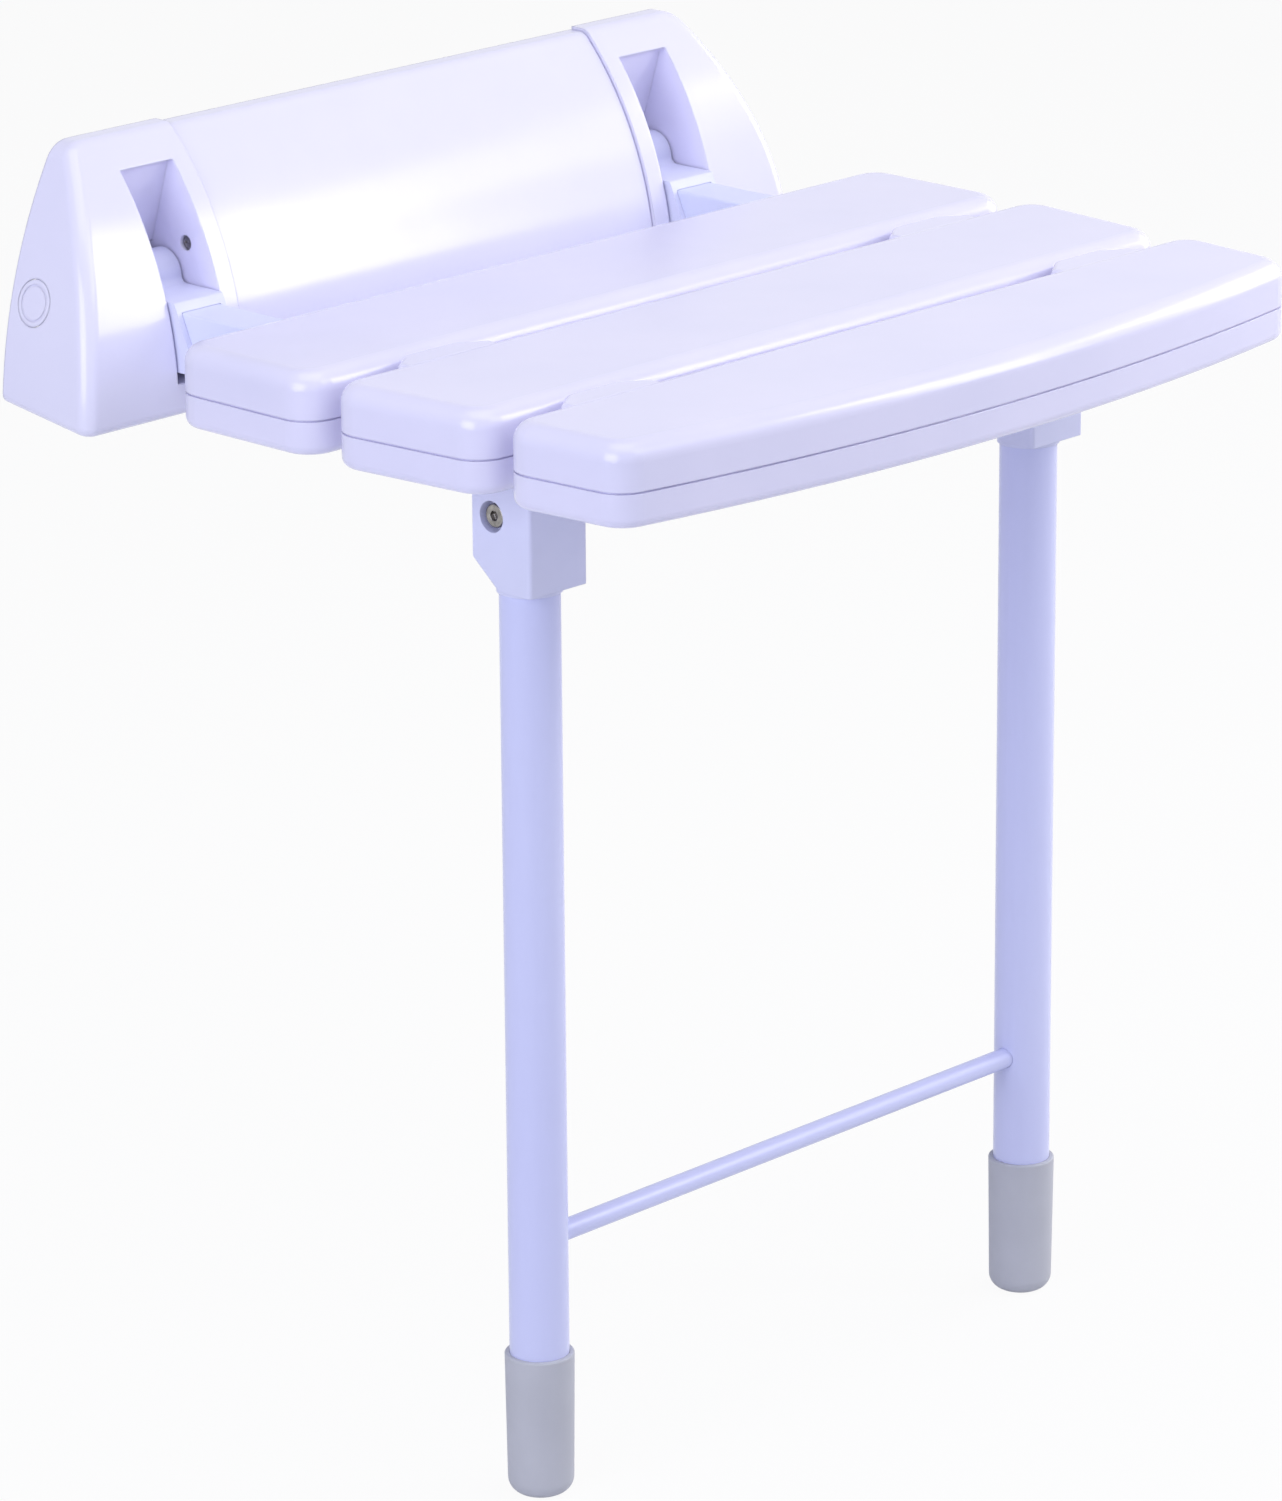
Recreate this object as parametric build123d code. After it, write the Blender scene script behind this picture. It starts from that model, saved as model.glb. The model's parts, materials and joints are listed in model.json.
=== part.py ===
from build123d import *
import os

# Wall-mounted folding shower seat with two front legs.
# Millimetres, +X to the right, +Y into the wall, +Z up.
# The origin is the centre of the wall plate's back face, on the wall.
# A wall distance runs from the wall towards the sitter, along -Y.

# Driving sizes
SEAT_HEIGHT = 481.0
ARM_X = 149.0
LEG_OUTSET = 3.6

# Fits between pieces
RUN_CLEARANCE = 0.05
SEAT_CLEARANCE = 0.1
SLIDE_CLEARANCE = 0.3
OVERCUT = 1.0
MERGE = 0.5

# Hinge between the wall unit and the seat
AXIS_DROP = 8.5
KNUCKLE_R = 11.0
KNUCKLE_BACK_GAP = 0.5
KNUCKLE_BLEND_R = 3.5
KNUCKLE_WIDTH = 27.5
PIN_D = 10.0
PIN_HEAD_D = 15.0
PIN_HEAD_T = 3.0
PIN_TAIL = 4.0
CLIP_T = 1.0
CLIP_RIM = 2.0
CLIP_GROOVE = 1.0
CLIP_MOUTH = 4.8
BUSH_WALL = 2.0
BUSH_FLANGE_RIM = 2.0
BUSH_FLANGE_T = 0.8

# Wall plate and hinge brackets
PLATE_HEIGHT = 80.0
PLATE_T = 2.5
PLATE_MARGIN = 4.0
PLATE_CORNER_R = 6.0
WALL_HOLE_D = 8.0
WALL_HOLE_SPACING_X = 200.0
WALL_HOLE_SPACING_Z = 50.0
TAB_X = 80.0
TAB_WIDTH = 24.0
TAB_REACH = 18.0
TAB_T = 2.5
TAB_HOLE_WALL = 11.0
CHEEK_T = 3.0
CHEEK_GAP = 0.5
CHEEK_LOW_DROP = 19.5
CHEEK_HIGH_RISE = 42.5
CHEEK_FRONT = 11.0
CHEEK_FOOT = 3.0
CHEEK_FRONT_DROP = 4.0
CHEEK_TOP_DEEP = 8.0
CHEEK_LAND = 5.0
WEB_TALL = 20.0
WEB_T = 2.5
RIVET_D = 4.0
RIVET_HEAD_D = 7.5
RIVET_HEAD_T = 1.4
RIVET_SPACING = 18.0

# Housing: two end caps and a centre cover that lies slightly lower
HOUSING_RISE = 53.8
HOUSING_DROP = 52.5
CHIN_DROP = 7.0
BROW_DEPTH = 9.0
BELLY_DEPTH = 38.7
BELLY_RISE = 11.0
CHIN_DEPTH = 52.5
HOUSING_BEHIND = 12.0
HOUSING_RIM_R = 7.0
HOUSING_UNDER_R = 4.0
HOUSING_CORNER_R = 13.0
LEAST_R = 1.2
END_TOP_OUT = 33.0
END_MIDDLE_OUT = 53.4
END_MIDDLE_RISE = 10.0
END_LOW_OUT = 66.3
HOUSING_WALL = 2.5
COVER_STEP = 1.3
SEAM_IN = 24.0
SEAM_GAP = 0.6
TONGUE_REACH = 6.0
TONGUE_T = 1.6
TONGUE_BACK = 4.0
WINDOW_WIDTH = 29.5
WINDOW_SILL_DROP = 36.5
RECESS_TOP_WALL = 17.5
RECESS_LOW_DEEP = 3.5
RECESS_GAP = 1.5
RECESS_T = 2.0
CAP_SCREW_AHEAD = 13.0
CAP_SCREW_RISE = 14.5
CAP_SCREW_D = 4.0
CAP_SCREW_HEAD_D = 6.0
CAP_SCREW_HEAD_T = 1.0
CAP_SCREW_HOLE_D = 6.6
CAP_SCREW_REACH = 5.0
SLOT_T = 1.0
COVER_SCREW_D = 4.0
COVER_SCREW_HEAD_D = 7.5
COVER_SCREW_HEAD_T = 2.0
COVER_SCREW_SINK = 3.5
COVER_SCREW_TIP = 2.0
COVER_BOSS_D = 11.0
COVER_HOOK_WIDTH = 20.0
COVER_HOOK_T = 4.0
COVER_HOOK_BACK = 0.5
PLUG_D = 19.0
PLUG_T = 3.0
PLUG_RING_D = 14.5
PLUG_RING_WIDTH = 0.7
PLUG_RING_DEEP = 0.4
PLUG_SKIRT_D = 15.0
PLUG_SKIRT_LENGTH = 6.0
PLUG_SKIRT_T = 1.5

# Knuckle sleeve and arm
DECK_DROP = 2.5
LIP_T = 4.2
DECK_REACH = 36.0
SLEEVE_SLANT = 13.5
SLEEVE_FLOOR = 3.0
SLEEVE_EDGE_R = 1.2
HEEL_GAP = 0.3
HEEL_DROP = 10.5
ARM_WIDTH = 22.0
ARM_TALL = 22.0
ARM_WALL = 2.0
ARM_EDGE_R = 1.0
ARM_BACK_REACH = 15.0
ARM_FRONT_PAST = 10.0
SLEEVE_BOLT_D = 5.0
SLEEVE_BOLT_HEAD_D = 9.0
SLEEVE_BOLT_HEAD_T = 2.0
SLEEVE_BOLT_FIRST = 7.0
SLEEVE_BOLT_SPACING = 11.0
SLEEVE_BOLT_BITE = 1.5

# Slats
SEAT_DROP = 0.5
SLAT_SETBACK = 88.2
SLAT_DEPTH = 81.0
SLAT_GAP = 10.5
REAR_SLAT_OUT = 63.6
MIDDLE_SLAT_OUT = 65.0
MIDDLE_SLAT_TAPER = 7.5
FRONT_SLAT_OUT = 60.0
FRONT_SLAT_TAPER = 5.5
FRONT_CROWN = 18.7
SLAT_CORNER_R = 14.0
SLAT_THICK = 34.5
PARTING_DROP = 20.0
PARTING_GAP = 0.8
SLAT_TOP_R = 8.0
SLAT_BOTTOM_R = 4.0
SLAT_WALL = 3.0
SLAT_CEILING = 4.0
SLAT_FLOOR = 3.3
LAP_DEEP = 1.2
LAP_TALL = 3.0
RIB_T = 2.0
RIB_TALL = 9.0
RIB_OFFSET = 18.0
BUMP_IN = 2.0
BUMP_FOOT = 52.0
BUMP_CREST = 28.0
BUMP_NEAR = 1.8
BUMP_ROOT = 10.0
BUMP_CORNER_R = 7.0
BUMP_TOP_R = 2.2
BUMP_STEP = 0.3
SLAT_SCREW_INSET = 25.0
SLAT_SCREW_INNER_X = 72.0
SLAT_SCREW_D = 4.0
SLAT_SCREW_HEAD_D = 7.5
SLAT_SCREW_HEAD_T = 2.5
SLAT_SCREW_SINK = 5.0
SLAT_SCREW_REACH = 10.0
SLAT_BOSS_D = 10.0
SLAT_POST_D = 13.0
ARM_SCREW_D = 4.0
ARM_SCREW_HEAD_D = 7.5
ARM_SCREW_HEAD_T = 2.4
ARM_SCREW_REACH = 3.0
ARM_SCREW_BACK = 6.0
ARM_PAD_D = 12.0

# Leg pivot
PIVOT_AHEAD = 7.6
PIVOT_DROP = 20.5
LEG_AHEAD = 4.7
LUG_PROUD = 0.5
LUG_T = 8.0
LUG_R = 9.0
LUG_BASE_LENGTH = 40.0
LUG_SCREW_SPACING = 28.0
PIVOT_D = 6.0
PIVOT_HEAD_D = 10.0
PIVOT_HEAD_T = 4.0
PIVOT_HEAD_R = 0.8
PIVOT_SOCKET_AF = 4.0
PIVOT_SOCKET_DEEP = 2.2
PIVOT_SINK_D = 13.0
PIVOT_SINK = 5.5
PIVOT_NUT_AF = 10.0
PIVOT_NUT_T = 5.0
PIVOT_NUT_SINK = 0.5
PIVOT_BUSH_D = 9.0

# Leg heads, tubes, rod and feet
HEAD_SIDE = 33.0
HEAD_DROP = 30.4
HEAD_CHAMFER_Y = 15.5
HEAD_CHAMFER_Z = 13.0
HEAD_TOP_GAP = 0.4
HEAD_EDGE_R = 1.8
TUBE_D = 25.0
TUBE_WALL = 1.5
COLLAR_D = TUBE_D + 2.0
COLLAR_TALL = 2.5
TUBE_TOP_LAND = 1.0
ROD_D = 9.0
ROD_HEIGHT = 112.2
ROD_STAND_IN = 2.0
FOOT_TALL = 62.9
FOOT_TOP_D = TUBE_D + 4.2
FOOT_BOTTOM_D = TUBE_D + 2.6
FOOT_SOLE = 10.0
FOOT_EDGE_R = 7.0
FOOT_LIP_R = 0.8
WASHER_T = 1.5
WASHER_HOLE_D = 8.0

# Heights and wall distances that follow
AXIS_Z = -AXIS_DROP
AXIS_WALL = PLATE_T + KNUCKLE_BACK_GAP + KNUCKLE_R
SEAT_Z = AXIS_Z - SEAT_DROP
FLOOR_Z = SEAT_Z - SEAT_HEIGHT
DECK_Z = AXIS_Z - DECK_DROP
ARM_TOP = DECK_Z - LIP_T
ARM_LOW = ARM_TOP - ARM_TALL
SLEEVE_LOW = ARM_LOW - SLEEVE_FLOOR
ARM_REAR = AXIS_WALL + ARM_BACK_REACH
DECK_FRONT = AXIS_WALL + DECK_REACH
SLEEVE_FRONT = DECK_FRONT + SLEEVE_SLANT
SLAT_LOW = SEAT_Z - SLAT_THICK
CEILING = SEAT_Z - SLAT_CEILING
FLOOR_TOP = SLAT_LOW + SLAT_FLOOR
TOP_SHELL_LOW = SEAT_Z - PARTING_DROP + PARTING_GAP / 2
BOTTOM_SHELL_HIGH = SEAT_Z - PARTING_DROP - PARTING_GAP / 2
LUG_LOW = SLAT_LOW - LUG_PROUD
PIVOT_Z = LUG_LOW - PIVOT_DROP
HEAD_LOW = PIVOT_Z - HEAD_DROP
TUBE_TOP = PIVOT_Z - LUG_R - SLIDE_CLEARANCE - TUBE_TOP_LAND
WASHER_LOW = FLOOR_Z + FOOT_SOLE
TUBE_LOW = WASHER_LOW + WASHER_T
ROD_Z = FLOOR_Z + ROD_HEIGHT
CHIN_Z = -HOUSING_DROP - CHIN_DROP
PLATE_LOW = -PLATE_HEIGHT / 2
WINDOW_SILL = AXIS_Z - WINDOW_SILL_DROP
RECESS_LOW = AXIS_Z + KNUCKLE_R + RECESS_GAP
RECESS_LOW_WALL = PLATE_T + RECESS_LOW_DEEP
CAP_SCREW_WALL = AXIS_WALL + CAP_SCREW_AHEAD
CAP_SCREW_Z = AXIS_Z + CAP_SCREW_RISE
CHEEK_HIGH = AXIS_Z + CHEEK_HIGH_RISE
CHEEK_LOW = AXIS_Z - CHEEK_LOW_DROP
WEB_LOW = CHEEK_HIGH - WEB_TALL
RIVET_Z = (WEB_LOW + CHEEK_HIGH) / 2

# Places along X that follow
LEG_X = ARM_X + LEG_OUTSET
KNUCKLE_HALF = KNUCKLE_WIDTH / 2
WINDOW_HALF = WINDOW_WIDTH / 2
CHEEK_INNER = WINDOW_HALF + RECESS_T + CHEEK_GAP
CHEEK_OUTER = CHEEK_INNER + CHEEK_T
PLATE_HALF = ARM_X + CHEEK_OUTER + PLATE_MARGIN
SEAM_X = ARM_X - SEAM_IN
END_TOP_X = ARM_X + END_TOP_OUT
END_MIDDLE_X = ARM_X + END_MIDDLE_OUT
END_LOW_X = ARM_X + END_LOW_OUT
HEAD_HALF = HEAD_SIDE / 2

# Diameters that follow
BUSH_OUTER_D = PIN_D + 2 * RUN_CLEARANCE + 2 * BUSH_WALL
CLIP_GROOVE_D = PIN_D - 2 * CLIP_GROOVE
SLAT_OUTS = (REAR_SLAT_OUT, MIDDLE_SLAT_OUT, FRONT_SLAT_OUT)
SLAT_TAPERS = (0.0, MIDDLE_SLAT_TAPER, FRONT_SLAT_TAPER)
REAR, MIDDLE, FRONT = range(3)


# Shared helpers


def spot(wall, z):
    """A place in the side view, from its wall distance and height."""
    return (-wall, z)


def arm_span(half):
    """A span of X centred on the left arm."""
    return (-ARM_X - half, -ARM_X + half)


def leg_span(half):
    """A span of X centred on the left leg."""
    return (-LEG_X - half, -LEG_X + half)


def side_slab(face, x_span):
    """A side-view face made solid across a span of X."""
    half = (x_span[1] - x_span[0]) / 2
    return Pos(sum(x_span) / 2, 0, 0) * extrude(Plane.YZ * face, half, both=True)


def between(x_span, wall_span, z_span):
    """A box given by its ends along X, away from the wall and upwards."""
    sizes = [abs(span[1] - span[0]) for span in (x_span, wall_span, z_span)]
    middle = Pos(sum(x_span) / 2, -sum(wall_span) / 2, sum(z_span) / 2)
    return middle * Box(*sizes)


def rod_x(wall, z, x_span, diameter):
    """A round bar along X."""
    bar = Rot(0, 90, 0) * Cylinder(diameter / 2, abs(x_span[1] - x_span[0]))
    return Pos(sum(x_span) / 2, -wall, z) * bar


def rod_y(x, z, wall_span, diameter):
    """A round bar along Y."""
    bar = Rot(90, 0, 0) * Cylinder(diameter / 2, abs(wall_span[1] - wall_span[0]))
    return Pos(x, -sum(wall_span) / 2, z) * bar


def rod_z(x, wall, z_span, diameter):
    """A round bar along Z."""
    return Pos(x, -wall, sum(z_span) / 2) * Cylinder(diameter / 2, abs(z_span[1] - z_span[0]))


def round_corner(face, place, radius):
    """Rounds the corner of a flat face that lies nearest a place."""
    corner = face.vertices().sort_by_distance((place[0], place[1], 0))[0]
    return fillet(corner, radius)


def mirrored(shape):
    """The same piece for the right-hand side."""
    return mirror(shape, about=Plane.YZ)


# Housing


def underside(wall):
    """Height of the housing's sloping underside at a wall distance."""
    return -HOUSING_DROP - CHIN_DROP * wall / CHIN_DEPTH


def front_arc():
    """Curve of the housing's front in the side view, from its chin up to its brow."""
    return ThreePointArc(spot(CHIN_DEPTH, CHIN_Z), spot(BELLY_DEPTH, BELLY_RISE), spot(BROW_DEPTH, HOUSING_RISE))


def window_head():
    """Height of the windows' upper edge, where the front just clears the folded arms."""
    folded_arm = AXIS_WALL + AXIS_Z - ARM_TOP
    arc = front_arc()
    ahead = -folded_arm + SLIDE_CLEARANCE - arc.arc_center.X
    return arc.arc_center.Y + (arc.radius**2 - ahead**2) ** 0.5


def housing_side(inset):
    """Side profile of the housing, drawn in by an inset; it runs on behind the wall."""
    arc = front_arc()
    back_top = spot(-HOUSING_BEHIND, HOUSING_RISE)
    back_low = spot(-HOUSING_BEHIND, underside(-HOUSING_BEHIND))
    face = make_face(arc + Polyline(arc @ 1, back_top, back_low, arc @ 0))
    return offset(face, -inset, kind=Kind.INTERSECTION) if inset else face


def housing_front(inset):
    """Front outline of the housing with flared ends, drawn in by an inset; it runs on below the chin."""
    low = CHIN_Z - CHIN_DROP
    top = HOUSING_RISE
    right = ThreePointArc((END_LOW_X, low), (END_MIDDLE_X, END_MIDDLE_RISE), (END_TOP_X, top))
    left = ThreePointArc((-END_TOP_X, top), (-END_MIDDLE_X, END_MIDDLE_RISE), (-END_LOW_X, low))
    across_top = Line((END_TOP_X, top), (-END_TOP_X, top))
    across_low = Line((-END_LOW_X, low), (END_LOW_X, low))
    face = make_face(right + across_top + left + across_low)
    face = fillet(face.vertices().group_by(Axis.Y)[-1], HOUSING_CORNER_R)
    return offset(face, -inset, kind=Kind.INTERSECTION) if inset else face


def housing_zone(x_span, wall_from):
    """Room round the housing across a span of X, from a wall distance forwards."""
    return between(x_span, (wall_from, 2 * CHIN_DEPTH), (2 * CHIN_Z, 2 * HOUSING_RISE))


def eased(body, edges, radius):
    """Rounds edges, unless the inset has used their radius up."""
    return fillet(edges, radius) if radius > LEAST_R else body


def is_upright(edge):
    """True for an edge that climbs more than it runs along X."""
    size = edge.bounding_box().size
    return size.Z > size.X


def housing_body(inset):
    """Closed body of the whole housing in front of the wall, drawn in by an inset."""
    wide = (-2 * END_LOW_X, 2 * END_LOW_X)
    across = side_slab(housing_side(inset), wide)
    deep = extrude(Plane.XZ * housing_front(inset), 2 * CHIN_DEPTH, both=True)
    body = across & deep & housing_zone(wide, 0)
    front = body.faces().sort_by(Axis.Y)[0]
    body = eased(body, front.edges().filter_by(is_upright), HOUSING_RIM_R - inset)
    under = body.faces().sort_by(Axis.Z)[0]
    loop = [e for e in under.edges() if e.center().Y < -MERGE]
    return eased(body, loop, HOUSING_UNDER_R - inset)


def recess_pocket(grow):
    """Pocket behind a cap's window, grown by a wall thickness all round."""
    open_front = 2 * CHIN_DEPTH
    back = PLATE_T + SLIDE_CLEARANCE
    head = window_head() + grow
    face = make_face(
        Polyline(
            spot(open_front, head),
            spot(RECESS_TOP_WALL - grow, head),
            spot(RECESS_LOW_WALL - grow, RECESS_LOW),
            spot(back, RECESS_LOW),
            spot(back, WINDOW_SILL - grow),
            spot(open_front, WINDOW_SILL - grow),
            close=True,
        )
    )
    return side_slab(face, arm_span(WINDOW_HALF + grow))


def end_cap(outer, inner):
    """Left end cap: a hollow shell with a window and its pocket walls."""
    left = housing_zone((-2 * END_LOW_X, -SEAM_X), -OVERCUT)
    cap = (outer - inner) & left
    # A thin tongue runs under the centre cover and keeps the seam shut.
    under_cover = COVER_STEP + HOUSING_WALL + SEAT_CLEARANCE
    tongue_hollow = housing_body(under_cover + TONGUE_T)
    tongue = housing_body(under_cover) - tongue_hollow
    neck = housing_body(HOUSING_WALL / 2) - tongue_hollow
    cap += tongue & housing_zone((-SEAM_X - TONGUE_T, -SEAM_X + TONGUE_REACH), TONGUE_BACK)
    cap += neck & housing_zone((-SEAM_X - TONGUE_T, -SEAM_X), TONGUE_BACK)
    cap += recess_pocket(RECESS_T) & outer & left
    cap -= recess_pocket(0)
    cap -= rod_x(AXIS_WALL, AXIS_Z, arm_span(CHEEK_OUTER), PIN_D + 2 * SLIDE_CLEARANCE)
    plug_hole_x = (-END_LOW_X - OVERCUT, -ARM_X - CHEEK_OUTER - 2 * PIN_HEAD_T)
    cap -= rod_x(AXIS_WALL, AXIS_Z, plug_hole_x, PLUG_D + 2 * SLIDE_CLEARANCE)
    cap -= rod_x(CAP_SCREW_WALL, CAP_SCREW_Z, (-ARM_X, -ARM_X + CHEEK_INNER), CAP_SCREW_HOLE_D)
    return cap


def cover_screw_seat():
    """Height of the face that a cover screw's head bears on."""
    return underside(TAB_HOLE_WALL) + COVER_SCREW_SINK


def centre_cover():
    """Curved cover between the caps, with screw bosses below and hooks above."""
    outer = housing_body(COVER_STEP)
    half = SEAM_X - SEAM_GAP
    cover = (outer - housing_body(COVER_STEP + HOUSING_WALL)) & housing_zone((-half, half), -OVERCUT)
    below = 2 * CHIN_Z
    seat = cover_screw_seat()
    for x in (-TAB_X, TAB_X):
        cover += rod_z(x, TAB_HOLE_WALL, (below, PLATE_LOW - SEAT_CLEARANCE), COVER_BOSS_D) & outer
        cover -= rod_z(x, TAB_HOLE_WALL, (below, PLATE_LOW), COVER_SCREW_D + 2 * SEAT_CLEARANCE)
        cover -= rod_z(x, TAB_HOLE_WALL, (below, seat), COVER_SCREW_HEAD_D + 2 * SEAT_CLEARANCE)
        hook_x = (x - COVER_HOOK_WIDTH / 2, x + COVER_HOOK_WIDTH / 2)
        hook_wall = (COVER_HOOK_BACK, COVER_HOOK_BACK + COVER_HOOK_T)
        cover += between(hook_x, hook_wall, (SEAT_CLEARANCE - PLATE_LOW, HOUSING_RISE)) & outer
    return cover


def plug_bar(diameter):
    """Round bar on the hinge axis through the left end face."""
    return rod_x(AXIS_WALL, AXIS_Z, (-END_LOW_X - OVERCUT, -ARM_X), diameter)


def pin_cover(outer):
    """Round plug that closes the hinge pin's hole in the left end face, with a fine ring in its face."""
    plug = plug_bar(PLUG_D) & outer - Pos(PLUG_T, 0, 0) * outer
    ring = plug_bar(PLUG_RING_D + PLUG_RING_WIDTH) - plug_bar(PLUG_RING_D - PLUG_RING_WIDTH)
    face_x = plug.bounding_box().max.X
    skirt_x = (face_x - PLUG_T, face_x + PLUG_SKIRT_LENGTH)
    skirt = rod_x(AXIS_WALL, AXIS_Z, skirt_x, PLUG_SKIRT_D)
    skirt -= rod_x(AXIS_WALL, AXIS_Z, (face_x, skirt_x[1] + OVERCUT), PLUG_SKIRT_D - 2 * PLUG_SKIRT_T)
    return plug + (skirt & outer) - (ring - Pos(PLUG_RING_DEEP, 0, 0) * outer)


# Wall plate, brackets and hinge


def rivet_xs():
    """X places of the left bracket's two rivets."""
    return arm_span(RIVET_SPACING / 2)


def wall_plate():
    """Steel plate on the wall, with screw holes and two tabs for the cover."""
    through = (-OVERCUT, PLATE_T + OVERCUT)
    plate = between((-PLATE_HALF, PLATE_HALF), (0, PLATE_T), (PLATE_LOW, -PLATE_LOW))
    plate = fillet(plate.edges().filter_by(Axis.Y), PLATE_CORNER_R)
    for side in (-1, 1):
        for z in (-WALL_HOLE_SPACING_Z / 2, WALL_HOLE_SPACING_Z / 2):
            plate -= rod_y(side * WALL_HOLE_SPACING_X / 2, z, through, WALL_HOLE_D)
        for x in rivet_xs():
            plate -= rod_y(side * x, RIVET_Z, through, RIVET_D + 2 * RUN_CLEARANCE)
        tab_x = (side * TAB_X - TAB_WIDTH / 2, side * TAB_X + TAB_WIDTH / 2)
        plate += between(tab_x, (PLATE_T / 2, TAB_REACH), (PLATE_LOW, PLATE_LOW + TAB_T))
        tab_hole = (PLATE_LOW - OVERCUT, PLATE_LOW + TAB_T + OVERCUT)
        plate -= rod_z(side * TAB_X, TAB_HOLE_WALL, tab_hole, COVER_SCREW_D + 2 * RUN_CLEARANCE)
    return plate


def hinge_bracket():
    """Left bracket: two cheeks that carry the hinge pin, joined by a web above the knuckle."""
    nose = CAP_SCREW_WALL + CHEEK_LAND
    cheek = make_face(
        Polyline(
            spot(PLATE_T, CHEEK_LOW),
            spot(AXIS_WALL + CHEEK_FOOT, CHEEK_LOW),
            spot(AXIS_WALL + CHEEK_FRONT, AXIS_Z - CHEEK_FRONT_DROP),
            spot(nose, CAP_SCREW_Z - CHEEK_LAND),
            spot(nose, CAP_SCREW_Z + CHEEK_LAND),
            spot(PLATE_T + CHEEK_TOP_DEEP, CHEEK_HIGH),
            spot(PLATE_T, CHEEK_HIGH),
            close=True,
        )
    )
    bracket = side_slab(cheek, (-ARM_X - CHEEK_OUTER, -ARM_X - CHEEK_INNER))
    bracket += side_slab(cheek, (-ARM_X + CHEEK_INNER, -ARM_X + CHEEK_OUTER))
    bracket += between(arm_span(CHEEK_OUTER), (PLATE_T, PLATE_T + WEB_T), (WEB_LOW, CHEEK_HIGH))
    through = arm_span(CHEEK_OUTER + OVERCUT)
    bracket -= rod_x(AXIS_WALL, AXIS_Z, through, PIN_D + 2 * RUN_CLEARANCE)
    bracket -= rod_x(CAP_SCREW_WALL, CAP_SCREW_Z, (-ARM_X, through[1]), CAP_SCREW_D + 2 * RUN_CLEARANCE)
    web_hole = (PLATE_T - OVERCUT, PLATE_T + WEB_T + OVERCUT)
    for x in rivet_xs():
        bracket -= rod_y(x, RIVET_Z, web_hole, RIVET_D + 2 * RUN_CLEARANCE)
    return bracket


def bracket_rivets():
    """Rivets through the plate and both webs, one solid each."""
    rivets = []
    head_from = PLATE_T + WEB_T
    for x in rivet_xs():
        rivet = rod_y(x, RIVET_Z, (0, head_from + RIVET_HEAD_T / 2), RIVET_D)
        rivet += rod_y(x, RIVET_Z, (head_from, head_from + RIVET_HEAD_T), RIVET_HEAD_D)
        rivets += [rivet, mirrored(rivet)]
    return rivets


def clip_groove_x():
    """Span of the groove near the left pin's inboard end."""
    start = -ARM_X + CHEEK_OUTER + SEAT_CLEARANCE
    return (start, start + CLIP_T)


def hinge_pin():
    """Left hinge pin: headed outboard, with a clip groove inboard."""
    head_x = -ARM_X - CHEEK_OUTER - SEAT_CLEARANCE
    tail_x = -ARM_X + CHEEK_OUTER + PIN_TAIL
    pin = rod_x(AXIS_WALL, AXIS_Z, (head_x, tail_x), PIN_D)
    pin += rod_x(AXIS_WALL, AXIS_Z, (head_x - PIN_HEAD_T, head_x), PIN_HEAD_D)
    ring = rod_x(AXIS_WALL, AXIS_Z, clip_groove_x(), PIN_D + 2 * OVERCUT)
    return pin - (ring - rod_x(AXIS_WALL, AXIS_Z, clip_groove_x(), CLIP_GROOVE_D))


def pin_clip():
    """Left spring clip in the pin's groove, open on one side."""
    groove = clip_groove_x()
    clip_x = (groove[0] + RUN_CLEARANCE, groove[1] - RUN_CLEARANCE)
    clip_d = PIN_D + 2 * CLIP_RIM
    clip = rod_x(AXIS_WALL, AXIS_Z, clip_x, clip_d)
    clip -= rod_x(AXIS_WALL, AXIS_Z, groove, CLIP_GROOVE_D + 2 * RUN_CLEARANCE)
    mouth = (AXIS_Z - CLIP_MOUTH / 2, AXIS_Z + CLIP_MOUTH / 2)
    return clip - between(groove, (AXIS_WALL, AXIS_WALL + clip_d), mouth)


def cap_screws():
    """Screws that hold each cap to its bracket through the pocket's inboard wall."""
    seat_x = -ARM_X + CHEEK_INNER
    face_x = seat_x - CAP_SCREW_HEAD_T
    screw = rod_x(CAP_SCREW_WALL, CAP_SCREW_Z, (face_x, seat_x), CAP_SCREW_HEAD_D)
    shank_x = (face_x + CAP_SCREW_HEAD_T / 2, seat_x + CAP_SCREW_REACH)
    screw += rod_x(CAP_SCREW_WALL, CAP_SCREW_Z, shank_x, CAP_SCREW_D)
    slot_wall = (CAP_SCREW_WALL - CAP_SCREW_D / 2, CAP_SCREW_WALL + CAP_SCREW_D / 2)
    slot_z = (CAP_SCREW_Z - SLOT_T / 2, CAP_SCREW_Z + SLOT_T / 2)
    screw -= between((face_x, face_x + CAP_SCREW_HEAD_T / 2), slot_wall, slot_z)
    return [screw, mirrored(screw)]


def cover_screws():
    """Screws that hold the centre cover to the plate's tabs from below."""
    screws = []
    seat = cover_screw_seat()
    low = seat - COVER_SCREW_HEAD_T
    tip = PLATE_LOW + TAB_T + COVER_SCREW_TIP
    half_slot = COVER_SCREW_D / 2
    slot_wall = (TAB_HOLE_WALL - SLOT_T / 2, TAB_HOLE_WALL + SLOT_T / 2)
    for x in (-TAB_X, TAB_X):
        screw = rod_z(x, TAB_HOLE_WALL, (seat - MERGE, tip), COVER_SCREW_D)
        screw += rod_z(x, TAB_HOLE_WALL, (low, seat), COVER_SCREW_HEAD_D)
        slot_x = (x - half_slot, x + half_slot)
        screws.append(screw - between(slot_x, slot_wall, (low, low + COVER_SCREW_HEAD_T / 2)))
    return screws


# Seat


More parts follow.
